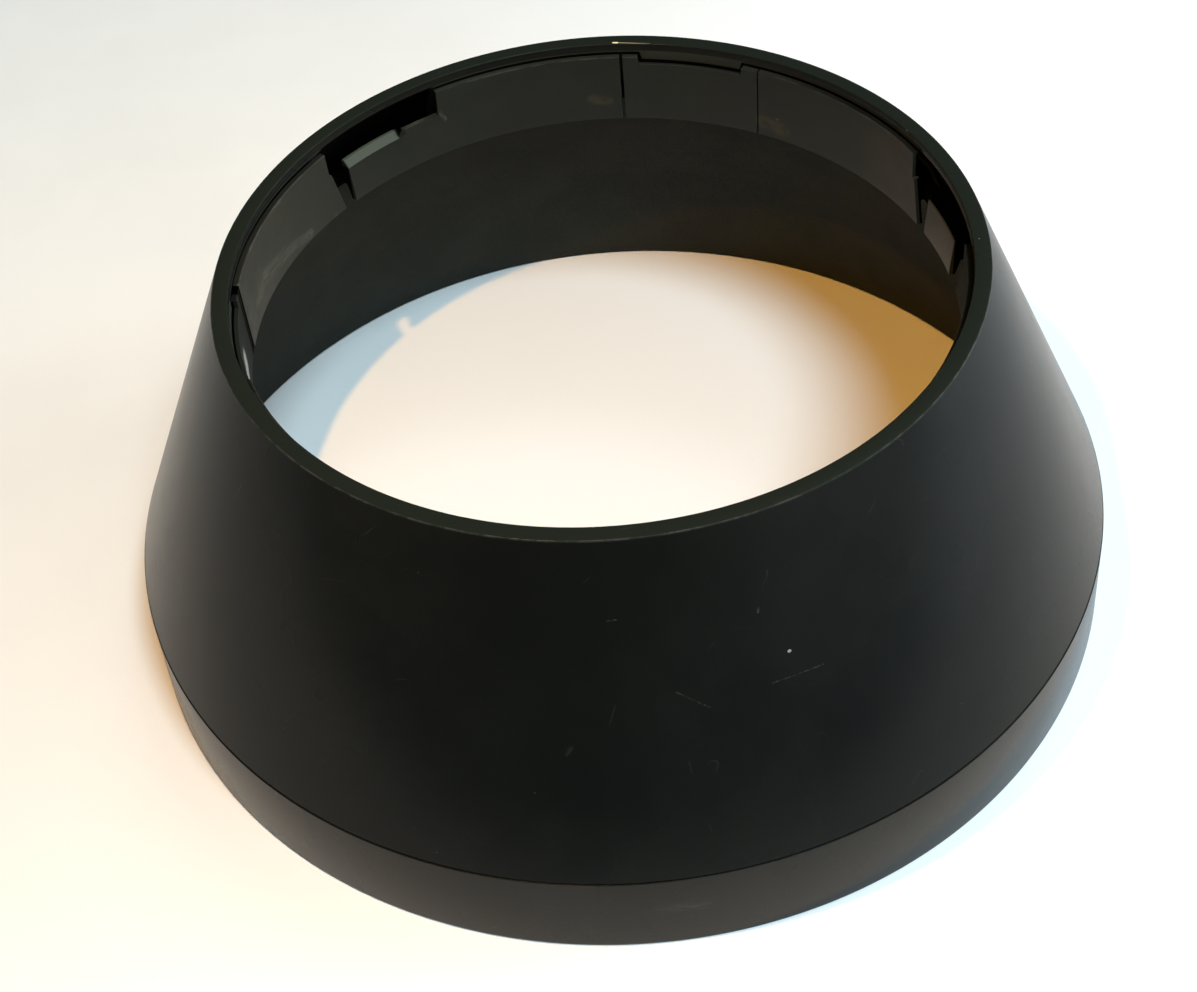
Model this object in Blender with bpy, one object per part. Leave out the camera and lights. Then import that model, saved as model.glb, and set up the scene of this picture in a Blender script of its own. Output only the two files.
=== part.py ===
"""A round conical lens hood with an internal three-notch bayonet, standing on its front rim.

The axis is Z. The narrow lens end is at the top and the wide front opening stands on the floor at Z = 0.
Azimuths are in degrees from +X towards +Y. Lengths are in millimetres and are scaled to metres once, in `point`.
"""

import math

import bmesh
import bpy

# Overall sizes
HEIGHT = 46.85
RIM_OUTER_R = 43.0
RIM_INNER_R = 41.15
CONE_SLOPE = 0.443
CONE_WALL = 1.97
CONE_FOOT_Z = 11.62
EDGE = 0.25

# Inner lip of the rim, with three downward keys above the tongues
LIP_BOTTOM_Z = 45.85
KEY_BOTTOM_Z = 44.6
KEY_HALF_ANGLE = 8.8

# Front ring and the spigot it sits on
RING_TOP_Z = 11.25
RING_TOP_R = 58.78
RING_FOOT_R = 59.18
RING_INNER_R = 57.95
SPIGOT_OUTER_R = 57.9
SPIGOT_INNER_R = 57.0
SPIGOT_FOOT_Z = 8.3

# Bayonet collar
COLLAR_INNER_R = 40.5
COLLAR_OUTER_R = 41.2
COLLAR_FOOT_Z = 36.1
COLLAR_TOP_Z = 45.3
FLANGE_FOOT_Z = 38.0
FLANGE_TOP_Z = 40.0
LEDGE_Z = 41.95
NOTCH_FROM = 117.0
NOTCH_TO = 141.4
PAD_FROM = 125.0
PAD_TO = 136.5
PAD_OUTER_R = 42.0
PAD_SINK = 0.3
PAD_TOP_Z = 41.7
PAD_CHAMFER = 0.8
SLIT_FROM = 136.5
SLIT_TO = 139.0
PAD_FOOT_Z = 37.2
SLIT_DEPTH_R = 42.3
FIRST_NOTCH_TURNS = (0, 120, 240)
DEEP_PAD_TURN = 240

# Detent tongues
TONGUE_AZIMUTHS = (70.3, 190.3, 310.3)
WINDOW_HALF_ANGLE = 12.75
TONGUE_RIGHT = 12.3
TONGUE_LEFT = 12.25
TONGUE_NOTCH_HALF_ANGLE = 9.3
TONGUE_NOTCH_Z = 44.3
HINGE_R = 40.85
HINGE_Z = 38.6

# Lining
LINING_GAP = 0.34
LINING_THICK = 0.44
LINING_TOP_Z = 37.6
LINING_FOOT_R = 57.6
LINING_FOOT_Z = 0.35

CLEARANCE = 0.3
STEP = 2.5


def point(r, z, azimuth):
    """A point in metres from a radius, a height and an azimuth."""
    a = math.radians(azimuth)
    return (r * math.cos(a) / 1000.0, r * math.sin(a) / 1000.0, z / 1000.0)


def outer_r(z):
    """Outer radius of the cone at a height."""
    return RIM_OUTER_R + (HEIGHT - z) * CONE_SLOPE


def inner_r(z):
    """Inner radius of the cone wall at a height."""
    return outer_r(z) - CONE_WALL


def plastic(name, colour, roughness):
    """A plain dielectric material."""
    material = bpy.data.materials.new(name)
    material.use_nodes = True
    shader = material.node_tree.nodes["Principled BSDF"]
    shader.inputs["Base Color"].default_value = (*colour, 1.0)
    shader.inputs["Roughness"].default_value = roughness
    material.diffuse_color = (*colour, 1.0)
    return material


def azimuths(start, stop, extra=()):
    """Even azimuth steps between two angles, with extra angles where a feature begins or ends."""
    found = {round(start, 4), round(stop, 4)}
    count = max(1, math.ceil((stop - start) / STEP))
    for i in range(count + 1):
        found.add(round(start + (stop - start) * i / count, 4))
    for value in extra:
        near = [a for a in found if abs(a - value) < 0.35 and a not in (start, stop)]
        found.difference_update(near)
    found.update(round(value, 4) for value in extra)
    return sorted(found)


def grid_mesh(angles, profile_at, whole):
    """Faces between one closed profile and the next round the axis. `whole` closes the full turn."""
    mesh = bmesh.new()
    rows = []
    for azimuth in angles:
        rows.append([mesh.verts.new(point(r, z, azimuth)) for r, z in profile_at(azimuth)])
    pairs = list(zip(rows, rows[1:]))
    if whole:
        pairs.append((rows[-1], rows[0]))
    size = len(rows[0])
    for near, far in pairs:
        for i in range(size):
            j = (i + 1) % size
            mesh.faces.new((near[i], near[j], far[j], far[i]))
    if not whole:
        mesh.faces.new(rows[0][::-1])
        mesh.faces.new(rows[-1])
    return mesh


def add_object(name, mesh, material):
    """Links a finished bmesh as an object with its faces turned outwards."""
    bmesh.ops.recalc_face_normals(mesh, faces=mesh.faces)
    if mesh.calc_volume(signed=True) < 0:
        bmesh.ops.reverse_faces(mesh, faces=mesh.faces)
    data = bpy.data.meshes.new(name)
    mesh.to_mesh(data)
    mesh.free()
    data.shade_smooth()
    data.set_sharp_from_angle(angle=math.radians(35))
    obj = bpy.data.objects.new(name, data)
    obj.data.materials.append(material)
    bpy.context.scene.collection.objects.link(obj)
    return obj


def turned(name, profile, material):
    """A full turn of one constant profile."""
    angles = azimuths(0.0, 360.0)[:-1]
    return add_object(name, grid_mesh(angles, lambda azimuth: profile, True), material)


def folded(azimuth, centres):
    """Signed angle from the nearest of several azimuths."""
    offsets = [(azimuth - centre + 180.0) % 360.0 - 180.0 for centre in centres]
    return min(offsets, key=abs)


def build_cone_shell(material):
    """Cone with a flat rim, an inner lip with three keys, and a thin spigot at the foot."""
    edges = []
    for centre in TONGUE_AZIMUTHS:
        for side in (-1, 1):
            edges.append((centre + side * KEY_HALF_ANGLE) % 360.0)
            edges.append((centre + side * (KEY_HALF_ANGLE + 0.4)) % 360.0)

    def profile_at(azimuth):
        keyed = abs(folded(azimuth, TONGUE_AZIMUTHS)) <= KEY_HALF_ANGLE + 0.01
        lip_z = KEY_BOTTOM_Z if keyed else LIP_BOTTOM_Z
        return (
            (RIM_INNER_R, lip_z),
            (inner_r(lip_z), lip_z),
            (inner_r(CONE_FOOT_Z), CONE_FOOT_Z),
            (SPIGOT_INNER_R, SPIGOT_FOOT_Z),
            (SPIGOT_OUTER_R, SPIGOT_FOOT_Z),
            (SPIGOT_OUTER_R, CONE_FOOT_Z),
            (outer_r(CONE_FOOT_Z) - 0.15, CONE_FOOT_Z),
            (outer_r(CONE_FOOT_Z + 0.15), CONE_FOOT_Z + 0.15),
            (outer_r(HEIGHT - EDGE), HEIGHT - EDGE),
            (RIM_OUTER_R - 0.12, HEIGHT - 0.07),
            (RIM_OUTER_R - EDGE - 0.05, HEIGHT),
            (RIM_INNER_R + EDGE, HEIGHT),
            (RIM_INNER_R + 0.07, HEIGHT - 0.07),
            (RIM_INNER_R, HEIGHT - EDGE),
        )

    angles = azimuths(0.0, 360.0, edges)[:-1]
    return add_object("cone_shell", grid_mesh(angles, profile_at, True), material)


def build_front_ring(material):
    """Nearly straight ring whose thin upper wall reaches up over the spigot."""
    profile = (
        (RING_INNER_R, EDGE),
        (RING_INNER_R, 1.05),
        (SPIGOT_OUTER_R + CLEARANCE, 1.05),
        (SPIGOT_OUTER_R + CLEARANCE, RING_TOP_Z),
        (RING_TOP_R - 0.2, RING_TOP_Z),
        (RING_TOP_R - 0.06, RING_TOP_Z - 0.06),
        (RING_TOP_R, RING_TOP_Z - 0.2),
        (RING_FOOT_R, 0.5),
        (RING_FOOT_R - 0.15, 0.14),
        (RING_FOOT_R - 0.5, 0.0),
        (RING_INNER_R + EDGE, 0.0),
    )
    return turned("front_ring", profile, material)


def build_inner_lining(material):
    """Matt skin that follows the inner wall from under the bayonet flange down into the front ring."""
    top_r = inner_r(LINING_TOP_Z) - LINING_GAP
    bend_r = inner_r(CONE_FOOT_Z) - LINING_GAP
    low_r = SPIGOT_INNER_R - LINING_GAP
    foot_r = LINING_FOOT_R
    profile = (
        (top_r, LINING_TOP_Z),
        (top_r - LINING_THICK, LINING_TOP_Z),
        (bend_r - LINING_THICK, CONE_FOOT_Z),
        (low_r - LINING_THICK, SPIGOT_FOOT_Z),
        (foot_r - LINING_THICK, LINING_FOOT_Z),
        (foot_r, LINING_FOOT_Z),
        (low_r, SPIGOT_FOOT_Z),
        (bend_r, CONE_FOOT_Z),
    )
    return turned("inner_lining", profile, material)


def in_span(azimuth, start, stop):
    """Whether an azimuth lies in a feature repeated three times round the collar."""
    for turn in FIRST_NOTCH_TURNS:
        if 0.0 <= (azimuth - start - turn) % 360.0 <= stop - start:
            return True
    return False


def collar_profile(azimuth):
    """Section of the bayonet ring: collar, weld flange, and the notch or recessed pad where there is one."""
    notched = in_span(azimuth, NOTCH_FROM, NOTCH_TO)
    padded = in_span(azimuth, PAD_FROM, PAD_TO + 1.0)
    back_r = PAD_OUTER_R if padded else COLLAR_OUTER_R
    top_z = LEDGE_Z if notched else COLLAR_TOP_Z
    top_z = PAD_TOP_Z if padded else top_z
    edge_r = COLLAR_INNER_R + (PAD_SINK + PAD_CHAMFER if padded else 0.12)
    lead_r = COLLAR_INNER_R + (PAD_SINK if padded else 0.0)
    lead_z = PAD_TOP_Z - PAD_CHAMFER if padded else top_z - 0.12
    return (
        (COLLAR_INNER_R, COLLAR_FOOT_Z + 0.12),
        (COLLAR_INNER_R + 0.12, COLLAR_FOOT_Z),
        (COLLAR_OUTER_R, COLLAR_FOOT_Z),
        (COLLAR_OUTER_R, FLANGE_FOOT_Z),
        (inner_r(FLANGE_FOOT_Z) - 0.35, FLANGE_FOOT_Z),
        (inner_r(FLANGE_TOP_Z) - 0.35, FLANGE_TOP_Z),
        (back_r, FLANGE_TOP_Z),
        (back_r, top_z),
        (edge_r, top_z),
        (lead_r, lead_z),
        (COLLAR_INNER_R, PAD_FOOT_Z),
    )


def sector(mesh, r_from, r_to, z_from, z_to, start, stop):
    """Adds one closed annular block to a cutter mesh."""
    profile = ((r_from, z_from), (r_to, z_from), (r_to, z_to), (r_from, z_to))
    block = grid_mesh(azimuths(start, stop), lambda azimuth: profile, False)
    bmesh.ops.recalc_face_normals(block, faces=block.faces)
    if block.calc_volume(signed=True) < 0:
        bmesh.ops.reverse_faces(block, faces=block.faces)
    data = bpy.data.meshes.new("block")
    block.to_mesh(data)
    block.free()
    mesh.from_mesh(data)
    bpy.data.meshes.remove(data)


def collar_cutter():
    """Three tongue windows, three slits beside the pads, and the second slit of one pad."""
    mesh = bmesh.new()
    window_r = COLLAR_OUTER_R + CLEARANCE
    half = WINDOW_HALF_ANGLE
    for centre in TONGUE_AZIMUTHS:
        sector(mesh, 38.0, window_r, 35.0, 48.0, centre - half, centre + half)
    for turn in FIRST_NOTCH_TURNS:
        sector(mesh, 38.0, SLIT_DEPTH_R, 35.0, 48.0, SLIT_FROM + turn, SLIT_TO + turn)
    start = PAD_FROM + DEEP_PAD_TURN - 2.6
    sector(mesh, 38.0, SLIT_DEPTH_R, 35.0, 48.0, start, start + 2.6)
    data = bpy.data.meshes.new("collar_cutter")
    mesh.to_mesh(data)
    mesh.free()
    cutter = bpy.data.objects.new("collar_cutter", data)
    bpy.context.scene.collection.objects.link(cutter)
    cutter.hide_render = True
    cutter.display_type = "WIRE"
    return cutter


def build_bayonet_ring(material):
    """Collar and flange in one moulding, with windows and slits cut through."""
    edges = []
    for turn in FIRST_NOTCH_TURNS:
        for value in (NOTCH_FROM, NOTCH_TO, PAD_FROM, PAD_TO + 1.0):
            edges.append((value + turn) % 360.0)
        for value in (NOTCH_FROM - 0.2, NOTCH_TO + 0.2, PAD_FROM - 0.5, PAD_TO + 1.4):
            edges.append((value + turn) % 360.0)
    angles = azimuths(0.0, 360.0, edges)[:-1]
    ring = add_object("bayonet_ring", grid_mesh(angles, collar_profile, True), material)
    modifier = ring.modifiers.new("windows", "BOOLEAN")
    modifier.operation = "DIFFERENCE"
    modifier.solver = "EXACT"
    modifier.object = collar_cutter()
    return ring


def build_tongue(name, centre, material):
    """Curved panel, hinged at the level of the flange, with a shallow notch along most of its top."""
    start = centre - TONGUE_RIGHT
    stop = centre + TONGUE_LEFT
    edges = []
    for side in (-1, 1):
        edges.append(centre + side * TONGUE_NOTCH_HALF_ANGLE)
        edges.append(centre + side * (TONGUE_NOTCH_HALF_ANGLE + 0.4))

    def profile_at(azimuth):
        low = abs(azimuth - centre) <= TONGUE_NOTCH_HALF_ANGLE + 0.01
        top_z = TONGUE_NOTCH_Z if low else COLLAR_TOP_Z
        return (
            (COLLAR_INNER_R, COLLAR_FOOT_Z + 0.12),
            (COLLAR_INNER_R + 0.12, COLLAR_FOOT_Z),
            (COLLAR_OUTER_R, COLLAR_FOOT_Z),
            (COLLAR_OUTER_R, top_z),
            (COLLAR_INNER_R + 0.12, top_z),
            (COLLAR_INNER_R, top_z - 0.12),
        )

    obj = add_object(name, grid_mesh(azimuths(start, stop, edges), profile_at, False), material)
    origin = point(HINGE_R, HINGE_Z, centre)
    for vertex in obj.data.vertices:
        for axis in range(3):
            vertex.co[axis] -= origin[axis]
    obj.location = origin
    return obj


def main():
    for obj in list(bpy.data.objects):
        bpy.data.objects.remove(obj)
    build_cone_shell(plastic("shell_plastic", (0.012, 0.012, 0.013), 0.45))
    build_front_ring(plastic("ring_plastic", (0.018, 0.018, 0.017), 0.5))
    build_inner_lining(plastic("lining_flock", (0.010, 0.010, 0.010), 0.95))
    grey = plastic("bayonet_plastic", (0.030, 0.031, 0.030), 0.5)
    build_bayonet_ring(grey)
    for number, centre in enumerate(TONGUE_AZIMUTHS, 1):
        build_tongue(f"detent_tongue_{number}", centre, grey)


main()
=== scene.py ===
"""Looks of a round conical lens hood that stands on its front rim on a pale table."""

import math

import bmesh
import bpy
from mathutils import Matrix, Vector


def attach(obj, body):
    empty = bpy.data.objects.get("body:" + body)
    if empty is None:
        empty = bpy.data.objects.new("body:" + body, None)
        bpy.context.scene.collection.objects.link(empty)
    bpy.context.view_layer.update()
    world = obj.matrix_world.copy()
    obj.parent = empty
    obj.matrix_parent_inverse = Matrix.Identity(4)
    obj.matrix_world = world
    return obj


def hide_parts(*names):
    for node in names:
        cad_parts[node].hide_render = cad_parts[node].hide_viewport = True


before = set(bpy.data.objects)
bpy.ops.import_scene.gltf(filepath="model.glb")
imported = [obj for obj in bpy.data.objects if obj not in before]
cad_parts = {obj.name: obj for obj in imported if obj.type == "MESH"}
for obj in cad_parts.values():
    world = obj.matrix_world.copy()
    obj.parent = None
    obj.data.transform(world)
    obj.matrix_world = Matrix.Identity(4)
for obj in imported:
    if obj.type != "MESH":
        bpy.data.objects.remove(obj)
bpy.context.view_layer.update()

MM = 0.001

# Sizes from the CAD, in millimetres
HEIGHT = 46.85
RIM_OUTER_R = 43.0
RIM_INNER_R = 41.15
CONE_SLOPE = 0.443
CONE_WALL = 1.97
CONE_FOOT_Z = 11.62
KEY_BOTTOM_Z = 44.6
KEY_HALF_ANGLE = 8.8
KEY_RAMP = 0.4
RING_TOP_Z = 11.25
RING_TOP_R = 58.78
RING_FOOT_R = 59.18
RING_INNER_R = 57.95
RING_SOCKET_R = 58.2
RING_STEP_Z = 1.05
SPIGOT_OUTER_R = 57.9
SPIGOT_INNER_R = 57.0
SPIGOT_FOOT_Z = 8.3
COLLAR_INNER_R = 40.5
COLLAR_OUTER_R = 41.2
COLLAR_FOOT_Z = 36.1
COLLAR_TOP_Z = 45.3
FLANGE_FOOT_Z = 38.0
FLANGE_TOP_Z = 40.0
FLANGE_GAP = 0.35
SLIT_DEPTH_R = 42.3
LEDGE_Z = 41.95
LEDGE_LEAD = 0.6
NOTCH = (117.0, 141.4)
NOTCH_RAMP = 0.2
PAD = (125.0, 136.5)
PAD_OUTER_R = 42.0
PAD_SINK = 0.3
PAD_TOP_Z = 41.7
PAD_CHAMFER = 0.8
PAD_FOOT_Z = 37.2
SLIT = (136.5, 139.0)
TURNS = (0.0, 120.0, 240.0)
DEEP_PAD_TURN = 240.0
DEEP_SLIT = 2.6
PAD_RAMP = 1.2
TONGUES = (70.3, 190.3, 310.3)
WINDOW_HALF = 12.75
TONGUE_RIGHT = 12.52
TONGUE_LEFT = 12.25
TONGUE_NOTCH_HALF = 9.3
TONGUE_NOTCH_RAMP = 0.25
TONGUE_NOTCH_Z = 44.3
LINING_GAP = 0.34
LINING_THICK = 0.44
LINING_TOP_Z = 37.6
LINING_CURVE_Z = 19.0
LINING_BEND_Z = 9.2
LINING_FOOT_R = 57.6
LINING_FOOT_Z = 0.35
LINING_FOOT_THICK = 0.12

# Sizes that only the looks have: a thinner parting line, a deeper lip, sloping sides of the slits in degrees,
# the bevel of the collar's edges, and the roots that join the collar to the flange
SEAM_Z = 11.46
LIP_BOTTOM_Z = 45.65
SLIT_LEAN = 1.9
DEEP_LEAN = 4.4
LEAN_MARGIN = 0.1
COLLAR_BEVEL = 0.07
ROOT_MARGIN = 0.1
ROOT_OVERLAP = 0.1
ROOT_INSET = 0.05

# The stage, in metres
FLOOR_HALF = 30.0
CARD_HALF = 1.5
CARD_EDGE_Y = -0.092
CARD_LIFT = 0.0005

# The camera: angles in degrees, its distance in metres, and its lens and sensor in millimetres
CAMERA_ELEVATION = 47.54
CAMERA_DISTANCE = 0.247
CAMERA_ROLL = -5.12
CAMERA_YAW = 0.614
CAMERA_PITCH = 1.307
SENSOR_WIDTH = 36.0
FOCAL_LENGTH = 57.8496

# Looks that several materials share
# Painted shade: the near black that recesses in shadow are painted with
PAINTED_SHADE_BLACK = (0.0008, 0.0009, 0.0008)
GRAIN_DEPTH = 0.00002


# ---------------------------------------------------------------- geometry
def point(r, z, azimuth):
    """A place on the hood in metres, from a radius and a height in millimetres and an angle in degrees."""
    a = math.radians(azimuth)
    return Vector((r * math.cos(a), r * math.sin(a), z)) * MM


def outer_r(z):
    return RIM_OUTER_R + (HEIGHT - z) * CONE_SLOPE


def inner_r(z):
    return outer_r(z) - CONE_WALL


def rounded(corners, steps=4):
    """A closed profile from (r, z, radius) corners, each turned into an arc of that radius."""
    points = []
    count = len(corners)
    for i, (r, z, radius) in enumerate(corners):
        here = Vector((r, z))
        if radius <= 0:
            points.append(here)
            continue
        before = Vector(corners[i - 1][:2]) - here
        after = Vector(corners[(i + 1) % count][:2]) - here
        angle = before.angle(after)
        back = min(radius / math.tan(angle / 2), 0.45 * before.length, 0.45 * after.length)
        start = here + before.normalized() * back
        stop = here + after.normalized() * back
        for k in range(steps + 1):
            t = k / steps
            points.append(start * (1 - t) ** 2 + here * 2 * t * (1 - t) + stop * t ** 2)
    return [(p.x, p.y) for p in points]


def azimuths(start, stop, step, extra=()):
    """Even azimuths between two angles, with extra ones where a feature begins or ends."""
    count = max(1, math.ceil((stop - start) / step - 1e-6))
    found = {round(start + (stop - start) * i / count, 4) for i in range(count + 1)}
    for value in extra:
        near = {a for a in found if abs(a - value) < 0.5 * step and a not in (start, stop)}
        found -= near
    found.update(round(value, 4) for value in extra)
    return sorted(found)


def grid(mesh, angles, profile_at, whole, lean=None):
    """Faces between one closed profile and the next round the axis, each point turned by lean(azimuth, z)."""
    shift = lean or (lambda azimuth, z: 0.0)
    rows = [[mesh.verts.new(point(r, z, a + shift(a, z))) for r, z in profile_at(a)] for a in angles]
    pairs = list(zip(rows, rows[1:]))
    if whole:
        pairs.append((rows[-1], rows[0]))
    size = len(rows[0])
    faces = []
    for near, far in pairs:
        for i in range(size):
            j = (i + 1) % size
            faces.append(mesh.faces.new((near[i], far[i], far[j], near[j])))
    if not whole:
        faces.append(mesh.faces.new(rows[0]))
        faces.append(mesh.faces.new(rows[-1][::-1]))
    bmesh.ops.recalc_face_normals(mesh, faces=faces)


def finish_piece(name, mesh, material, body, nodes, sharp=38, bevel=0.0):
    data = bpy.data.meshes.new(name)
    mesh.to_mesh(data)
    mesh.free()
    data.shade_smooth()
    data.set_sharp_from_angle(angle=math.radians(sharp))
    obj = bpy.data.objects.new(name, data)
    data.materials.append(material)
    bpy.context.scene.collection.objects.link(obj)
    if bevel:
        modifier = obj.modifiers.new("edge", "BEVEL")
        modifier.width = bevel * MM
        modifier.segments = 2
        modifier.limit_method = "ANGLE"
        modifier.angle_limit = math.radians(sharp)
        modifier.harden_normals = True
    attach(obj, body)
    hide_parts(*nodes)
    return obj


def folded(azimuth, centres):
    """The signed angle to the nearest of the centres."""
    return min(((azimuth - c + 180.0) % 360.0 - 180.0 for c in centres), key=abs)


# ---------------------------------------------------------------- shader helpers
class Nodes:
    """Short names for building one node tree."""

    def __init__(self, tree):
        self.tree = tree
        self.nodes = tree.nodes
        self.links = tree.links

    def add(self, kind, **settings):
        node = self.nodes.new(kind)
        for key, value in settings.items():
            setattr(node, key, value)
        return node

    def put(self, socket, value):
        if isinstance(value, bpy.types.NodeSocket):
            self.links.new(value, socket)
        else:
            socket.default_value = value

    def math(self, operation, a, b=0.0, c=0.0, clamp=False):
        node = self.add("ShaderNodeMath", operation=operation, use_clamp=clamp)
        for socket, value in zip(node.inputs, (a, b, c)):
            self.put(socket, value)
        return node.outputs[0]

    def times(self, a, b):
        return self.math("MULTIPLY", a, b)

    def ramp(self, value, low, high, out_low=0.0, out_high=1.0):
        node = self.add("ShaderNodeMapRange", interpolation_type="SMOOTHSTEP")
        for socket, item in zip(node.inputs, (value, low, high, out_low, out_high)):
            self.put(socket, item)
        return node.outputs[0]

    def mix(self, factor, a, b):
        node = self.add("ShaderNodeMix", data_type="RGBA")
        self.put(node.inputs[0], factor)
        self.put(node.inputs[6], a)
        self.put(node.inputs[7], b)
        return node.outputs[2]

    def over(self, base, mask, share, colour):
        """A colour laid over the base where the mask is, by at most this share."""
        return self.mix(self.times(mask, share), base, (*colour, 1.0))

    def noise(self, vector, scale, detail=2.0, rough=0.5):
        node = self.add("ShaderNodeTexNoise")
        self.put(node.inputs["Vector"], vector)
        node.inputs["Scale"].default_value = scale
        node.inputs["Detail"].default_value = detail
        node.inputs["Roughness"].default_value = rough
        return node.outputs[0]

    def scaled(self, vector, factors):
        node = self.add("ShaderNodeMapping")
        self.put(node.inputs["Vector"], vector)
        node.inputs["Scale"].default_value = factors
        return node.outputs[0]

    def joined(self, x, y, z):
        node = self.add("ShaderNodeCombineXYZ")
        for socket, value in zip(node.inputs, (x, y, z)):
            self.put(socket, value)
        return node.outputs[0]

    def rotated(self, vector, angles):
        node = self.add("ShaderNodeMapping")
        self.put(node.inputs["Vector"], vector)
        node.inputs["Rotation"].default_value = angles
        return node.outputs[0]


def new_material(name, colour):
    material = bpy.data.materials.new(name)
    material.use_nodes = True
    material.diffuse_color = (*colour, 1.0)
    n = Nodes(material.node_tree)
    shader = n.nodes["Principled BSDF"]
    position = n.add("ShaderNodeTexCoord").outputs["Object"]
    return material, n, shader, position


def wrapped(n, position):
    """(azimuth from 0 to 360 degrees, radius in mm, height in mm) on the hood, from a position in metres."""
    split = n.add("ShaderNodeSeparateXYZ")
    n.put(split.inputs[0], position)
    x, y, z = split.outputs
    turn = n.math("ARCTAN2", n.times(y, -1.0), n.times(x, -1.0))
    azimuth = n.math("MULTIPLY_ADD", turn, 180.0 / math.pi, 180.0)
    radius = n.math("SQRT", n.math("ADD", n.times(x, x), n.times(y, y)))
    return azimuth, n.times(radius, 1.0 / MM), n.times(z, 1.0 / MM)


def within(n, value, low, high, soft):
    """Mask that is 1 between two values, with soft ends."""
    rise = n.ramp(value, low - soft, low + soft)
    fall = n.ramp(value, high - soft, high + soft, 1.0, 0.0)
    return n.times(rise, fall)


def streak(n, position, start, stop, width, broken=True):
    """Mask of one mark between two points, `width` mm wide. Where it is broken, a fine noise eats into it."""
    span = stop - start
    away = n.add("ShaderNodeVectorMath", operation="SUBTRACT")
    n.put(away.inputs[0], position)
    away.inputs[1].default_value = start
    along = n.add("ShaderNodeVectorMath", operation="DOT_PRODUCT")
    n.put(along.inputs[0], away.outputs[0])
    along.inputs[1].default_value = span / max(span.length_squared, 1e-9)
    share = n.math("MULTIPLY", along.outputs["Value"], 1.0, clamp=True)
    nearest = n.add("ShaderNodeVectorMath", operation="SCALE")
    nearest.inputs[0].default_value = span
    n.put(nearest.inputs["Scale"], share)
    gap = n.add("ShaderNodeVectorMath", operation="DISTANCE")
    n.put(gap.inputs[0], away.outputs[0])
    n.put(gap.inputs[1], nearest.outputs[0])
    mark = n.ramp(gap.outputs["Value"], 0.25 * width * MM, 0.6 * width * MM, 1.0, 0.0)
    if not broken:
        return mark
    return n.times(mark, n.ramp(n.noise(position, 3000.0, 3.0, 0.65), 0.42, 0.60, 0.08, 1.0))


def cone_streak(n, position, start, stop, width, broken=True):
    """A mark on the outside of the cone, from one (azimuth, height) to another."""
    ends = [point(outer_r(z), z, azimuth) for azimuth, z in (start, stop)]
    return streak(n, position, *ends, width, broken)


def collar_streak(n, position, start, stop, width, broken=True):
    """A mark on the inner face of the collar, from one (azimuth, height) to another."""
    ends = [point(COLLAR_INNER_R, z, azimuth) for azimuth, z in (start, stop)]
    return streak(n, position, *ends, width, broken)


def most(n, masks):
    """The greatest of several masks."""
    found = masks[0]
    for mask in masks[1:]:
        found = n.math("MAXIMUM", found, mask)
    return found


def specks(n, position, cell, size, share):
    """Mask of tiny round dust specks: one in `share` of the cells, each of about `size` metres."""
    voronoi = n.add("ShaderNodeTexVoronoi", feature="F1")
    n.put(voronoi.inputs["Vector"], position)
    voronoi.inputs["Scale"].default_value = 1.0 / cell
    split = n.add("ShaderNodeSeparateColor")
    n.put(split.inputs[0], voronoi.outputs["Color"])
    chosen = n.math("LESS_THAN", split.outputs[0], share)
    radius = n.math("MULTIPLY_ADD", split.outputs[1], size / cell, 0.3 * size / cell)
    inside = n.math("SUBTRACT", radius, voronoi.outputs["Distance"])
    soft = n.math("MULTIPLY", inside, cell / (0.35 * size), clamp=True)
    return n.times(chosen, soft)


def hairlines(n, position, angles, stretch, scale, share):
    """Mask of thin scratches that run mostly one way, each only a few millimetres long."""
    turned_to = n.rotated(position, angles)
    waves = n.noise(n.scaled(turned_to, stretch), scale, 1.0, 0.4)
    line = n.ramp(n.math("ABSOLUTE", n.math("SUBTRACT", waves, 0.5)), 0.0015, 0.0045, 1.0, 0.0)
    patches = n.ramp(n.noise(turned_to, 230.0, 1.0, 0.5), share, share + 0.05)
    return n.times(line, patches)


def bump(n, height, distance, strength):
    node = n.add("ShaderNodeBump")
    node.inputs["Strength"].default_value = strength
    node.inputs["Distance"].default_value = distance
    n.put(node.inputs["Height"], height)
    return node.outputs[0]


def grained(n, shader, position, scale, detail, rough, strength):
    """A very fine moulded grain on the plastic."""
    n.put(shader.inputs["Normal"], bump(n, n.noise(position, scale, detail, rough), GRAIN_DEPTH, strength))


def near_notches(n, azimuth):
    """Mask of the three entry notches. The third one crosses azimuth 0, so it is made of its two ends."""
    soft = 0.6
    third_start = NOTCH[0] + TURNS[2]
    third_stop = NOTCH[1] + TURNS[2] - 360.0
    masks = [within(n, azimuth, NOTCH[0] + turn, NOTCH[1] + turn, soft) for turn in TURNS[:2]]
    masks.append(n.ramp(azimuth, third_start - soft, third_start + soft))
    masks.append(n.ramp(azimuth, third_stop - soft, third_stop + soft, 1.0, 0.0))
    return most(n, masks)


def cone_inside(n, radius, height):
    """Mask of the inner side of the cone's wall, below the lip of the rim."""
    depth = n.math("SUBTRACT", radius, n.math("MULTIPLY_ADD", height, -CONE_SLOPE, outer_r(0.0)))
    below_lip = n.ramp(height, LIP_BOTTOM_Z + 0.15, LIP_BOTTOM_Z + 0.25, 1.0, 0.0)
    return n.times(n.ramp(depth, -1.6, -1.2, 1.0, 0.0), below_lip)


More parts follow.
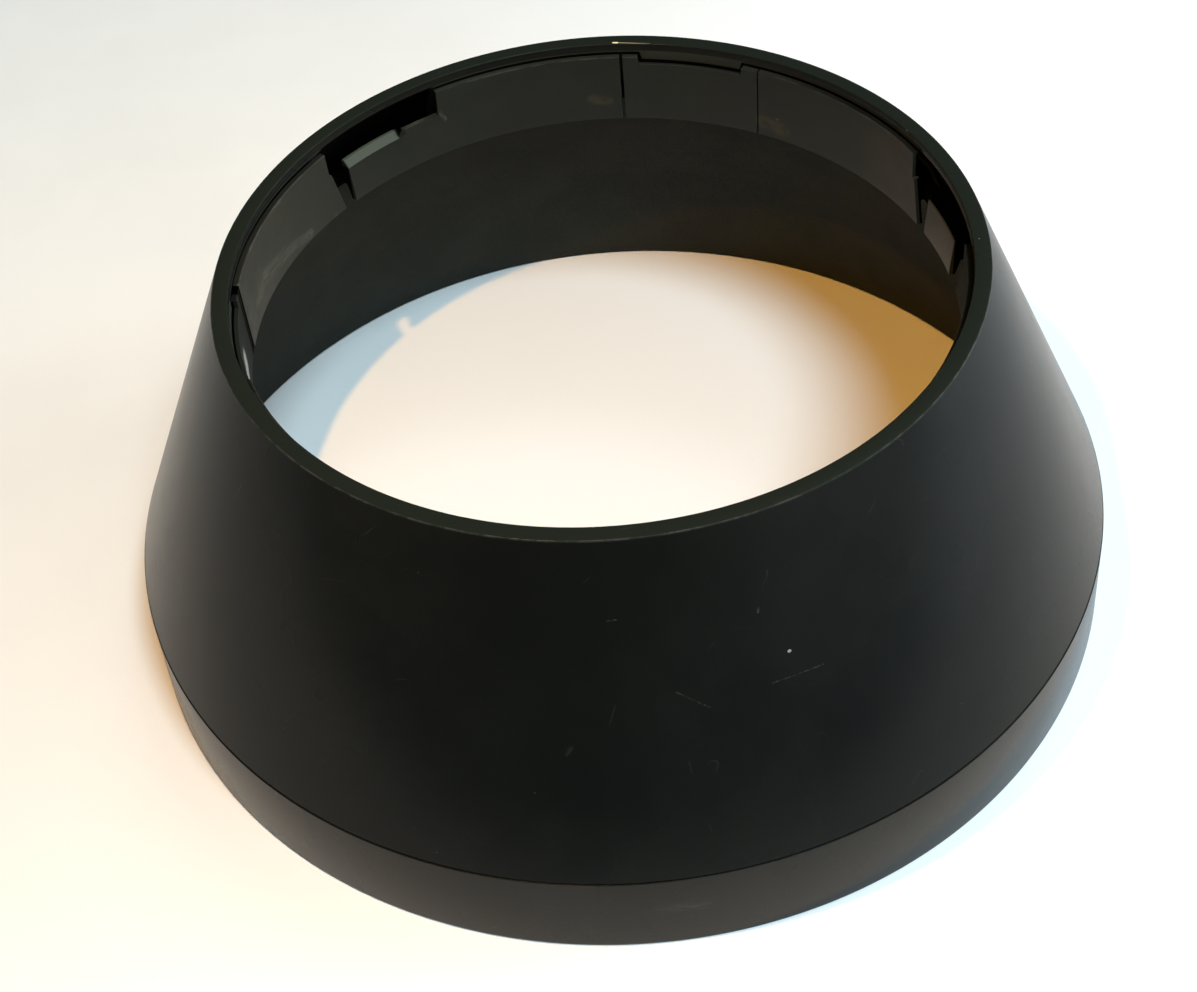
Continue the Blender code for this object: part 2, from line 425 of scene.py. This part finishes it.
def cone_scratches(n, position):
    """The few scratches that are wide enough to see one by one."""
    return most(n, (
        cone_streak(n, position, (285.6, 29.9), (291.9, 29.9), 0.20),
        cone_streak(n, position, (274.5, 31.2), (278.0, 29.1), 0.18),
        cone_streak(n, position, (267.2, 39.0), (268.4, 39.1), 0.17),
        cone_streak(n, position, (285.4, 37.3), (285.5, 37.7), 0.30),
        cone_streak(n, position, (341.5, 39.6), (341.4, 38.4), 0.24),
        cone_streak(n, position, (352.7, 38.9), (354.0, 37.2), 0.24),
    ))


def cone_scuff(n, position, azimuth, height):
    """A faint scuffed patch high on the right side of the cone."""
    patch = n.times(within(n, azimuth, 339.0, 357.0, 3.0), within(n, height, 34.0, 41.0, 2.5))
    slant = n.scaled(n.rotated(position, (0.3, 0.5, 0.2)), (1.0, 1.0, 3.5))
    return n.times(patch, n.ramp(n.noise(slant, 700.0, 3.0, 0.6), 0.50, 0.74))


def rim_edge_highlight(n, position, radius, height):
    """Mask of a painted highlight along the rim's outer edge, broken up in places."""
    upper = n.ramp(height, HEIGHT - 0.17, HEIGHT - 0.09)
    outer = n.ramp(radius, RIM_OUTER_R - 0.14, RIM_OUTER_R - 0.04)
    return n.times(n.times(upper, outer), n.ramp(n.noise(position, 800.0, 3.0, 0.6), 0.42, 0.60, 0.2, 1.0))


def rim_painted_glint(n, position, azimuth):
    """Mask of a painted glint of the lamp on the rim's inner edge, with a fading tail."""
    level = HEIGHT - 0.03
    head_start = point(RIM_INNER_R + 0.30, level, 84.0)
    head_stop = point(RIM_INNER_R + 0.27, level, 83.3)
    tail_stop = point(RIM_INNER_R + 0.11, level, 77.6)
    head = streak(n, position, head_start, head_stop, 0.30, False)
    tail = streak(n, position, head_stop, tail_stop, 0.20, False)
    return n.math("MAXIMUM", head, n.times(tail, n.ramp(azimuth, 76.5, 83.3, 0.03, 0.32)))


def shell_plastic():
    """Satin black with scratches and dust, painted light on the rim's top face, a painted highlight on its
    outer edge and a painted glint on its inner edge. Its hidden inner side is grey, and painted black as
    shade beside the notches.
    """
    material, n, shader, position = new_material("shell_satin_black", (0.008, 0.008, 0.009))
    azimuth, radius, height = wrapped(n, position)
    cloud = n.noise(position, 55.0, 3.0, 0.55)
    dust = most(n, (
        specks(n, position, 0.0042, 0.00012, 0.25),
        specks(n, position, 0.0019, 0.00006, 0.30),
    ))
    hair = most(n, (
        hairlines(n, position, (0.4, 0.9, 0.3), (1.0, 3.0, 3.0), 60.0, 0.66),
        hairlines(n, position, (1.2, -0.5, 0.8), (1.0, 3.0, 3.0), 50.0, 0.67),
    ))
    bright_dust = n.math(
        "MAXIMUM",
        n.times(n.ramp(height, HEIGHT - 0.25, HEIGHT - 0.05), specks(n, position, 0.0016, 0.00009, 0.30)),
        cone_streak(n, position, (288.2, 32.5), (288.3, 32.5), 0.36, False),
    )
    inside = cone_inside(n, radius, height)
    notch_painted_shade = n.times(inside, near_notches(n, azimuth))

    base = n.mix(n.ramp(cloud, 0.35, 0.7), (0.0056, 0.0070, 0.0070, 1), (0.0082, 0.0098, 0.0095, 1))
    # Painted light: the rim's top face is painted paler and greener than the cone
    base = n.over(base, n.ramp(height, HEIGHT - 0.25, HEIGHT - 0.10), 1.0, (0.0088, 0.0126, 0.0105))
    base = n.over(base, hair, 0.20, (0.05, 0.052, 0.048))
    base = n.over(base, cone_scuff(n, position, azimuth, height), 0.24, (0.10, 0.105, 0.095))
    base = n.over(base, dust, 0.50, (0.18, 0.185, 0.17))
    base = n.over(base, cone_scratches(n, position), 0.27, (0.10, 0.105, 0.098))
    base = n.over(base, bright_dust, 0.8, (0.35, 0.36, 0.34))
    # Painted highlight along the rim's outer edge
    base = n.over(base, rim_edge_highlight(n, position, radius, height), 0.34, (0.070, 0.076, 0.078))
    # Painted highlight: a glint of the lamp on the rim's inner edge
    base = n.over(base, rim_painted_glint(n, position, azimuth), 0.95, (0.80, 0.74, 0.46))
    base = n.over(base, inside, 1.0, (0.0230, 0.0290, 0.0245))
    # Painted shade: the cone's inner side beside the notches is painted black and made metallic
    base = n.over(base, notch_painted_shade, 1.0, PAINTED_SHADE_BLACK)
    n.put(shader.inputs["Base Color"], base)
    n.put(shader.inputs["Metallic"], notch_painted_shade)
    rough = n.ramp(cloud, 0.3, 0.75, 0.245, 0.29)
    n.put(shader.inputs["Roughness"], n.math("MULTIPLY_ADD", inside, 0.7, rough))
    shader.inputs["IOR"].default_value = 1.48
    shader.inputs["Specular IOR Level"].default_value = 0.09
    grained(n, shader, position, 5200.0, 3.0, 0.6, 0.45)
    return material


def ring_scuff(n, azimuth, height):
    """A small soft scuff halfway up the front of the ring."""
    patch = n.times(within(n, azimuth, 270.5, 275.5, 1.6), within(n, height, 5.9, 7.1, 0.7))
    smear = n.noise(n.joined(n.times(azimuth, 0.25), height, 0.0), 2.4, 3.0, 0.6)
    return n.times(patch, n.ramp(smear, 0.34, 0.70))


def ring_plastic():
    """Smoother and a little lighter than the cone."""
    material, n, shader, position = new_material("ring_satin_black", (0.012, 0.012, 0.012))
    azimuth, _, height = wrapped(n, position)
    cloud = n.noise(position, 70.0, 3.0, 0.6)
    hair = hairlines(n, position, (0.0, 0.0, 0.2), (1.0, 1.0, 4.0), 55.0, 0.66)
    base = n.mix(n.ramp(cloud, 0.35, 0.7), (0.0056, 0.0064, 0.0052, 1), (0.0080, 0.0090, 0.0074, 1))
    base = n.over(base, hair, 0.25, (0.06, 0.062, 0.057))
    base = n.over(base, ring_scuff(n, azimuth, height), 0.25, (0.09, 0.095, 0.085))
    base = n.over(base, specks(n, position, 0.0035, 0.00010, 0.25), 0.4, (0.18, 0.185, 0.17))
    n.put(shader.inputs["Base Color"], base)
    n.put(shader.inputs["Roughness"], n.ramp(cloud, 0.3, 0.75, 0.25, 0.30))
    shader.inputs["IOR"].default_value = 1.5
    shader.inputs["Specular IOR Level"].default_value = 0.13
    grained(n, shader, position, 6500.0, 2.0, 0.5, 0.4)
    return material


def collar_edge_highlights(n, radius, height, top):
    """Mask of the collar's top edge and of the edge of the ledges, where a pale highlight is painted."""
    ledge = within(n, height, LEDGE_Z - 0.05, LEDGE_Z + 0.05, 0.03)
    ledge = n.times(ledge, n.ramp(radius, COLLAR_INNER_R + 0.03, COLLAR_INNER_R + 0.09))
    edges = n.math("MAXIMUM", n.ramp(height, COLLAR_TOP_Z - 0.22, COLLAR_TOP_Z - 0.08), ledge)
    return n.times(edges, n.math("SUBTRACT", 1.0, top))


def collar_marks(n, position):
    """Short pale marks, partly nicks and partly painted highlights on the land tops, and one long pale line
    along the top of the left land.
    """
    return most(n, (
        collar_streak(n, position, (116.6, 42.3), (115.8, 41.0), 0.60),
        collar_streak(n, position, (53.6, 39.0), (53.9, 39.1), 0.40),
        collar_streak(n, position, (28.3, 45.2), (28.6, 45.2), 0.35),
        collar_streak(n, position, (26.6, 45.1), (26.8, 45.1), 0.30),
        collar_streak(n, position, (177.0, 45.1), (177.4, 45.2), 0.80),
        collar_streak(n, position, (141.9, 36.4), (141.6, 36.4), 0.50),
        collar_streak(n, position, (168.0, 45.1), (154.9, 45.1), 0.50),
    ))


def collar_smudges(n, position):
    """Two olive smudges on the lands at either side of the back tongue."""
    smudges = n.math(
        "MAXIMUM",
        collar_streak(n, position, (88.4, 39.2), (85.6, 38.8), 1.5, False),
        collar_streak(n, position, (56.5, 38.2), (52.5, 37.6), 2.2, False),
    )
    return n.times(smudges, n.ramp(n.noise(position, 900.0, 3.0, 0.6), 0.36, 0.62, 0.25, 1.0))


def rubbed_band(n, position, azimuth, height):
    """A band of fine rubbing along the left land, where the lens bayonet turns."""
    band = most(n, (
        collar_streak(n, position, (165.0, 39.3), (157.5, 38.3), 2.2, False),
        collar_streak(n, position, (157.5, 38.3), (149.0, 37.0), 1.5, False),
        collar_streak(n, position, (170.5, 38.6), (165.0, 39.0), 1.6, False),
    ))
    sloped_height = n.math("MULTIPLY_ADD", azimuth, -0.13, height)
    fine = n.noise(n.joined(n.times(azimuth, 0.035), sloped_height, 0.0), 7.0, 3.0, 0.6)
    return n.times(band, n.ramp(fine, 0.46, 0.64, 0.12, 1.0))


def tongue_painted_highlight(n, position):
    """Mask of the painted highlight on the left tongue: a pale spot."""
    spot = collar_streak(n, position, (187.8, 40.0), (191.0, 39.2), 3.8, False)
    return n.times(spot, n.ramp(n.noise(position, 1500.0, 3.0, 0.6), 0.32, 0.56, 0.35, 1.0))


def bayonet_plastic():
    """Satin plastic with painted light and shade: two lands, the edges and the pad chamfers are painted
    paler, hidden faces black. Rubbing, nicks and smudges lie over it.
    """
    material, n, shader, position = new_material("bayonet_rubbed_grey_painted_light", (0.02, 0.02, 0.02))
    azimuth, radius, height = wrapped(n, position)
    cloud = n.noise(n.scaled(position, (1.0, 1.0, 1.6)), 190.0, 4.0, 0.6)
    upper = n.ramp(height, COLLAR_TOP_Z - 0.1, COLLAR_TOP_Z - 0.02)
    top = n.times(upper, n.ramp(radius, COLLAR_INNER_R + 0.06, COLLAR_INNER_R + 0.16))
    # Painted light: the pad and land on the near right and the lands on the left are painted paler, as if lit
    left = n.times(n.ramp(azimuth, 116.0, 172.0), n.ramp(azimuth, 176.0, 180.0, 1.0, 0.0))
    right = n.math(
        "MAXIMUM",
        within(n, azimuth, 4.0, 17.0, 0.8),
        n.times(within(n, azimuth, 17.2, 34.0, 6.0), 0.45),
    )
    edges = collar_edge_highlights(n, radius, height, top)
    highlight_breaks = n.ramp(n.noise(position, 420.0, 3.0, 0.6), 0.40, 0.62)
    chamfer_z = PAD_TOP_Z - PAD_CHAMFER
    chamfer = n.times(within(n, azimuth, *PAD, 0.4), n.ramp(height, chamfer_z - 0.05, chamfer_z + 0.05))
    tongue_highlight = tongue_painted_highlight(n, position)

    base = n.mix(n.ramp(cloud, 0.35, 0.75), (0.0074, 0.0110, 0.0098, 1), (0.0108, 0.0150, 0.0132, 1))
    # Painted light on the near right side and on the left lands
    base = n.over(base, right, 0.85, (0.029, 0.0315, 0.0245))
    base = n.over(base, left, 0.7, (0.024, 0.0265, 0.0195))
    # Painted highlight along the collar's top edge and the ledge edges, broken by noise
    base = n.over(base, n.times(edges, highlight_breaks), 0.45, (0.050, 0.060, 0.054))
    # Painted light and shade on the collar's top face: pale grey at the back, near black towards the left and
    # right
    far = n.math("MAXIMUM", n.ramp(azimuth, 112.0, 150.0), n.ramp(azimuth, 38.0, 60.0, 1.0, 0.0))
    shaded = n.mix(far, (0.0150, 0.0190, 0.0155, 1), (0.0018, 0.0022, 0.0020, 1))
    base = n.mix(n.times(top, 0.8), base, shaded)
    # Painted highlight on the pad chamfers
    base = n.over(base, chamfer, 1.0, (0.036, 0.050, 0.042))
    base = n.over(base, collar_marks(n, position), 0.5, (0.085, 0.096, 0.080))
    base = n.over(base, collar_smudges(n, position), 0.55, (0.040, 0.038, 0.022))
    base = n.over(base, rubbed_band(n, position, azimuth, height), 0.62, (0.085, 0.096, 0.078))
    # Painted highlight: a pale spot on the left tongue
    base = n.over(base, tongue_highlight, 1.0, (0.30, 0.33, 0.32))

    # Painted shade: everything behind the inner face is painted deep black, and so is a narrow line beside
    # the left tongue's slit
    face = n.ramp(radius, COLLAR_INNER_R + 0.38, COLLAR_INNER_R + 0.46, 1.0, 0.0)
    deep = n.math("SUBTRACT", 1.0, most(n, (face, edges, chamfer, upper)))
    deep = n.math("MAXIMUM", deep, within(n, azimuth, 177.2, 179.4, 0.15))
    base = n.over(base, deep, 1.0, PAINTED_SHADE_BLACK)
    n.put(shader.inputs["Base Color"], base)

    # Painted shade: the left tongue, the near right side and everything behind the inner face are darkened
    # through the metallic input and made rougher
    east_land = n.math("MAXIMUM", n.ramp(azimuth, 300.0, 312.0), n.ramp(azimuth, 2.5, 3.5, 1.0, 0.0))
    left_tongue = within(n, azimuth, 177.7, 203.0, 0.05)
    painted_shade_parts = n.math("MAXIMUM", n.times(left_tongue, 0.65), n.times(east_land, 0.85))
    painted_shade = n.math("MAXIMUM", deep, n.math("SUBTRACT", painted_shade_parts, tongue_highlight, clamp=True))
    n.put(shader.inputs["Metallic"], painted_shade)
    rough = n.ramp(cloud, 0.3, 0.75, 0.46, 0.56)
    n.put(shader.inputs["Roughness"], n.math("MULTIPLY_ADD", painted_shade, 0.44, rough))
    shader.inputs["IOR"].default_value = 1.5
    shader.inputs["Specular IOR Level"].default_value = 0.22
    grained(n, shader, position, 7000.0, 2.0, 0.5, 0.4)
    return material


def lining_flock():
    """Matt black with a fibrous grain, greyer than the plastic because it scatters the light."""
    material, n, shader, position = new_material("lining_matt_black", (0.014, 0.014, 0.013))
    fibre = n.noise(position, 4200.0, 3.0, 0.7)
    cloud = n.noise(position, 90.0, 3.0, 0.6)
    base = n.mix(n.ramp(cloud, 0.35, 0.7), (0.0150, 0.0176, 0.0140, 1), (0.0200, 0.0230, 0.0186, 1))
    base = n.over(base, n.ramp(fibre, 0.45, 0.8), 1.0, (0.026, 0.0275, 0.024))
    n.put(shader.inputs["Base Color"], base)
    shader.inputs["Roughness"].default_value = 0.95
    shader.inputs["Specular IOR Level"].default_value = 0.25
    n.put(shader.inputs["Normal"], bump(n, fibre, 0.00006, 0.8))
    return material


# ---------------------------------------------------------------- pieces
def build_cone_shell(material):
    edges = []
    for centre in TONGUES:
        for side in (-1, 1):
            edges.append((centre + side * KEY_HALF_ANGLE) % 360.0)
            edges.append((centre + side * (KEY_HALF_ANGLE + KEY_RAMP)) % 360.0)

    def profile_at(azimuth):
        keyed = abs(folded(azimuth, TONGUES)) <= KEY_HALF_ANGLE + 0.01
        lip_z = KEY_BOTTOM_Z if keyed else LIP_BOTTOM_Z
        return rounded((
            (RIM_INNER_R, lip_z, 0.06),
            (inner_r(lip_z), lip_z, 0.0),
            (inner_r(CONE_FOOT_Z), CONE_FOOT_Z, 0.0),
            (SPIGOT_INNER_R, SPIGOT_FOOT_Z, 0.0),
            (SPIGOT_OUTER_R, SPIGOT_FOOT_Z, 0.1),
            (SPIGOT_OUTER_R, SEAM_Z, 0.05),
            (outer_r(SEAM_Z), SEAM_Z, 0.06),
            (RIM_OUTER_R, HEIGHT, 0.08),
            (RIM_INNER_R, HEIGHT, 0.1),
        ))

    mesh = bmesh.new()
    grid(mesh, azimuths(0.0, 360.0, 0.75, edges)[:-1], profile_at, True)
    return finish_piece("hood_cone", mesh, material, "hood_body", ["cone_shell"])


def build_front_ring(material):
    profile = rounded((
        (RING_INNER_R, 0.0, 0.2),
        (RING_INNER_R, RING_STEP_Z, 0.1),
        (RING_SOCKET_R, RING_STEP_Z, 0.0),
        (RING_SOCKET_R, RING_TOP_Z, 0.05),
        (RING_TOP_R, RING_TOP_Z, 0.07),
        (RING_FOOT_R, 0.0, 0.42),
    ))
    mesh = bmesh.new()
    grid(mesh, azimuths(0.0, 360.0, 0.75)[:-1], lambda azimuth: profile, True)
    return finish_piece("hood_front_ring", mesh, material, "hood_body", ["front_ring"])


def build_lining(material):
    """The matt skin on the inner wall. Its lower part curves out to the foot."""
    top_r = inner_r(LINING_TOP_Z) - LINING_GAP
    bend_r = inner_r(CONE_FOOT_Z) - LINING_GAP
    low_r = SPIGOT_INNER_R - LINING_GAP
    curve_top_r = inner_r(LINING_CURVE_Z) - LINING_GAP
    profile = rounded((
        (top_r, LINING_TOP_Z, 0.0),
        (top_r - LINING_THICK, LINING_TOP_Z, 0.1),
        (curve_top_r - LINING_THICK, LINING_CURVE_Z, 0.0),
    ))
    start = Vector((curve_top_r - LINING_THICK, LINING_CURVE_Z))
    middle = Vector((low_r - LINING_THICK, LINING_BEND_Z))
    stop = Vector((LINING_FOOT_R - LINING_FOOT_THICK, LINING_FOOT_Z))
    steps = 16
    for k in range(1, steps + 1):
        t = k / steps
        p = start * (1 - t) ** 2 + middle * 2 * t * (1 - t) + stop * t ** 2
        profile.append((p.x, p.y))
    profile += [(LINING_FOOT_R, LINING_FOOT_Z), (low_r, SPIGOT_FOOT_Z), (bend_r, CONE_FOOT_Z)]
    mesh = bmesh.new()
    grid(mesh, azimuths(0.0, 360.0, 1.0)[:-1], lambda azimuth: profile, True)
    return finish_piece("hood_lining", mesh, material, "hood_body", ["inner_lining"])


def in_span(azimuth, span):
    return any(0.0 <= (azimuth - span[0] - turn) % 360.0 <= span[1] - span[0] for turn in TURNS)


def collar_profile(azimuth):
    """The collar's section: full height on a land, up to the ledge in a notch, set back on a pad."""
    notched = in_span(azimuth, NOTCH)
    padded = in_span(azimuth, PAD)
    back_r = PAD_OUTER_R if padded else COLLAR_OUTER_R
    top_z = LEDGE_Z if notched else COLLAR_TOP_Z
    top_z = PAD_TOP_Z if padded else top_z
    edge_r = COLLAR_INNER_R + (PAD_SINK + PAD_CHAMFER if padded else 0.0)
    lead_r = COLLAR_INNER_R + (PAD_SINK if padded else 0.0)
    lead_z = PAD_TOP_Z - PAD_CHAMFER if padded else LEDGE_Z - LEDGE_LEAD
    return (
        (COLLAR_INNER_R, COLLAR_FOOT_Z),
        (COLLAR_OUTER_R, COLLAR_FOOT_Z),
        (back_r, FLANGE_TOP_Z - 1.0),
        (back_r, top_z),
        (edge_r, top_z),
        (lead_r, lead_z),
        (COLLAR_INNER_R, PAD_FOOT_Z),
    )


def lean_of_slit(turn):
    """The far side of a slit slopes: it is wider at the ledge than at the foot."""

    def lean(azimuth, z):
        past = azimuth - SLIT[1] - turn
        share = 1.0 - past / (NOTCH[1] - LEAN_MARGIN - SLIT[1])
        rise = min(1.0, (z - COLLAR_FOOT_Z) / (LEDGE_Z - COLLAR_FOOT_Z))
        return SLIT_LEAN * rise * max(0.0, share)

    return lean


def lean_of_deep_slit(turn):
    """The slit on the near side of the deep pad opens into the notch the same way."""

    def lean(azimuth, z):
        past = azimuth - NOTCH[0] - LEAN_MARGIN - turn
        share = past / (PAD[0] - DEEP_SLIT - NOTCH[0] - LEAN_MARGIN)
        rise = min(1.0, 0.3 + (z - COLLAR_FOOT_Z) / (LEDGE_Z - COLLAR_FOOT_Z))
        return -DEEP_LEAN * rise * max(0.0, share)

    return lean


def collar_spans(turn):
    """(start, stop, lean, root start, root stop) of each length of collar in one third of the ring."""
    start = TONGUES[0] + WINDOW_HALF + turn
    stop = TONGUES[1] - WINDOW_HALF + turn
    slit_start = SLIT[0] + turn
    slit_stop = SLIT[1] + turn
    far_land = (slit_stop, stop, lean_of_slit(turn), NOTCH[1] + turn, stop - ROOT_MARGIN)
    if turn != DEEP_PAD_TURN:
        near_land = (start, slit_start, None, start + ROOT_MARGIN, slit_start - ROOT_MARGIN)
        return [near_land, far_land]
    pad_start = PAD[0] + turn
    near_land = (start, pad_start - DEEP_SLIT, lean_of_deep_slit(turn), start + ROOT_MARGIN, NOTCH[0] + turn)
    pad = (pad_start, slit_start, None, pad_start + ROOT_MARGIN, slit_start - ROOT_MARGIN)
    return [near_land, far_land, pad]


def build_bayonet(material):
    """Flange, the lengths of collar between tongue windows and slits, and the roots that join them."""
    mesh = bmesh.new()
    flange = (
        (SLIT_DEPTH_R, FLANGE_FOOT_Z),
        (inner_r(FLANGE_FOOT_Z) - FLANGE_GAP, FLANGE_FOOT_Z),
        (inner_r(FLANGE_TOP_Z) - FLANGE_GAP, FLANGE_TOP_Z),
        (SLIT_DEPTH_R, FLANGE_TOP_Z),
    )
    root = (
        (COLLAR_OUTER_R - ROOT_OVERLAP, FLANGE_FOOT_Z + ROOT_INSET),
        (SLIT_DEPTH_R + ROOT_OVERLAP, FLANGE_FOOT_Z + ROOT_INSET),
        (SLIT_DEPTH_R + ROOT_OVERLAP, FLANGE_TOP_Z - ROOT_INSET),
        (COLLAR_OUTER_R - ROOT_OVERLAP, FLANGE_TOP_Z - ROOT_INSET),
    )
    grid(mesh, azimuths(0.0, 360.0, 1.5)[:-1], lambda azimuth: flange, True)
    for turn in TURNS:
        edges = [value + turn for value in (*NOTCH, PAD[0])]
        edges += [NOTCH[0] - NOTCH_RAMP + turn, NOTCH[1] + NOTCH_RAMP + turn, PAD[0] - PAD_RAMP + turn]
        for low, high, lean, root_low, root_high in collar_spans(turn):
            inside = [e for e in edges if low < e < high]
            grid(mesh, azimuths(low, high, 1.5, inside), collar_profile, False, lean)
            grid(mesh, azimuths(root_low, root_high, 1.5), lambda azimuth: root, False)
    return finish_piece(
        "hood_bayonet", mesh, material, "hood_body", ["bayonet_ring"], bevel=COLLAR_BEVEL
    )


def build_tongue(number, centre, material):
    edges = []
    for side in (-1, 1):
        edges.append(centre + side * TONGUE_NOTCH_HALF)
        edges.append(centre + side * (TONGUE_NOTCH_HALF + TONGUE_NOTCH_RAMP))

    def profile_at(azimuth):
        low = abs(azimuth - centre) <= TONGUE_NOTCH_HALF + 0.01
        top_z = TONGUE_NOTCH_Z if low else COLLAR_TOP_Z
        return (
            (COLLAR_INNER_R, COLLAR_FOOT_Z),
            (COLLAR_OUTER_R, COLLAR_FOOT_Z),
            (COLLAR_OUTER_R, top_z),
            (COLLAR_INNER_R, top_z),
        )

    mesh = bmesh.new()
    grid(mesh, azimuths(centre - TONGUE_RIGHT, centre + TONGUE_LEFT, 1.5, edges), profile_at, False)
    name, body, node = f"hood_tongue_{number}", f"tongue_{number}", f"detent_tongue_{number}"
    return finish_piece(name, mesh, material, body, [node], bevel=COLLAR_BEVEL)


# ---------------------------------------------------------------- stage
def build_floor():
    """A pale table top, painted a little brighter and cooler towards the window as painted light."""
    mesh = bmesh.new()
    bmesh.ops.create_grid(mesh, x_segments=1, y_segments=1, size=FLOOR_HALF)
    data = bpy.data.meshes.new("table_top")
    mesh.to_mesh(data)
    mesh.free()
    floor = bpy.data.objects.new("table_top", data)
    bpy.context.scene.collection.objects.link(floor)
    material, n, shader, position = new_material("table_white", (0.8, 0.8, 0.78))
    mottle = n.noise(position, 30.0, 3.0, 0.6)
    base = n.mix(n.ramp(mottle, 0.3, 0.7), (0.73, 0.73, 0.715, 1), (0.76, 0.76, 0.745, 1))
    split = n.add("ShaderNodeSeparateXYZ")
    n.put(split.inputs[0], position)
    toward_window = n.math("MULTIPLY_ADD", split.outputs[1], -0.5, split.outputs[0])
    # Painted light: the table is paler and cooler towards the window, darker away from it
    base = n.mix(n.ramp(toward_window, -0.12, 0.05), base, (0.93, 0.95, 0.985, 1))
    n.put(shader.inputs["Base Color"], base)
    shader.inputs["Roughness"].default_value = 0.6
    data.materials.append(material)


def build_dark_card():
    """A black card on the near part of the table that the camera doesn't see. It keeps the front dark."""
    mesh = bmesh.new()
    places = (
        (-CARD_HALF, -CARD_HALF),
        (CARD_HALF, -CARD_HALF),
        (CARD_HALF, CARD_EDGE_Y),
        (-CARD_HALF, CARD_EDGE_Y),
    )
    mesh.faces.new([mesh.verts.new((x, y, CARD_LIFT)) for x, y in places])
    data = bpy.data.meshes.new("dark_card")
    mesh.to_mesh(data)
    mesh.free()
    card = bpy.data.objects.new("dark_card", data)
    bpy.context.scene.collection.objects.link(card)
    material, n, shader, position = new_material("card_black", (0.02, 0.02, 0.02))
    weave = n.noise(position, 900.0, 2.0, 0.5)
    n.put(shader.inputs["Base Color"], n.mix(weave, (0.012, 0.012, 0.012, 1), (0.02, 0.02, 0.02, 1)))
    shader.inputs["Roughness"].default_value = 0.9
    data.materials.append(material)
    card.visible_camera = False
    card.visible_shadow = False


def add_light(name, kind, place, target, energy, colour, size):
    data = bpy.data.lights.new(name, kind)
    data.energy = energy
    data.color = colour
    if kind == "AREA":
        data.shape = "DISK"
        data.size = size
    else:
        data.shadow_soft_size = size
    light = bpy.data.objects.new(name, data)
    light.location = place
    light.rotation_euler = (Vector(target) - Vector(place)).to_track_quat("-Z", "Y").to_euler()
    bpy.context.scene.collection.objects.link(light)
    return light


def build_lights():
    """A small warm lamp near the hood, soft cool light from behind and above, and a low right window."""
    add_light("desk_lamp", "POINT", (-0.039, -0.054, 0.212), (0, 0, 0), 1.20, (1.0, 0.495, 0.105), 0.003)
    add_light("back_window", "AREA", (0.30, 0.40, 0.95), (0, 0, 0), 1.5, (0.75, 0.92, 1.0), 0.30)
    add_light("ceiling_light", "AREA", (0.256, -0.50, 1.06), (0, 0, 0), 12.4, (0.70, 0.91, 1.0), 0.40)
    add_light("right_window", "AREA", (1.3, 0.25, 0.42), (0, 0, 0.02), 10.0, (1.0, 0.98, 0.94), 0.9)


def build_world():
    """A dim room that is bright on its right side."""
    world = bpy.data.worlds.new("room")
    bpy.context.scene.world = world
    world.use_nodes = True
    n = Nodes(world.node_tree)
    background = n.nodes["Background"]
    split = n.add("ShaderNodeSeparateXYZ")
    n.put(split.inputs[0], n.add("ShaderNodeTexCoord").outputs["Generated"])
    right = n.ramp(split.outputs[0], 0.2, 0.8)
    n.put(background.inputs["Color"], n.mix(right, (0.012, 0.012, 0.013, 1), (1.05, 1.05, 1.02, 1)))


def build_camera():
    """The fitted view: about 48 degrees above the table, and turned a little about each of its own axes."""
    elevation = math.radians(CAMERA_ELEVATION)
    rise = math.sin(elevation)
    run = math.cos(elevation)
    place = Vector((0.0, -run, rise)) * CAMERA_DISTANCE
    looking = Matrix((
        (1.0, 0.0, 0.0),
        (0.0, rise, -run),
        (0.0, run, rise),
    ))
    turn = Matrix.Rotation(math.radians(CAMERA_PITCH), 3, "X")
    turn = turn @ Matrix.Rotation(math.radians(CAMERA_YAW), 3, "Y")
    turn = turn @ Matrix.Rotation(math.radians(CAMERA_ROLL), 3, "Z")
    data = bpy.data.cameras.new("camera")
    data.sensor_width = SENSOR_WIDTH
    data.lens = FOCAL_LENGTH
    data.clip_start = 0.01
    data.clip_end = 50.0
    camera = bpy.data.objects.new("camera", data)
    camera.matrix_world = Matrix.Translation(place) @ (looking @ turn).to_4x4()
    bpy.context.scene.collection.objects.link(camera)
    bpy.context.scene.camera = camera


def main():
    build_camera()
    build_floor()
    build_dark_card()
    build_lights()
    build_world()
    build_cone_shell(shell_plastic())
    build_front_ring(ring_plastic())
    build_lining(lining_flock())
    grey = bayonet_plastic()
    build_bayonet(grey)
    for number, centre in enumerate(TONGUES, 1):
        build_tongue(number, centre, grey)
    bpy.context.scene.view_settings.view_transform = "Standard"
    bpy.context.scene.view_settings.look = "None"


main()
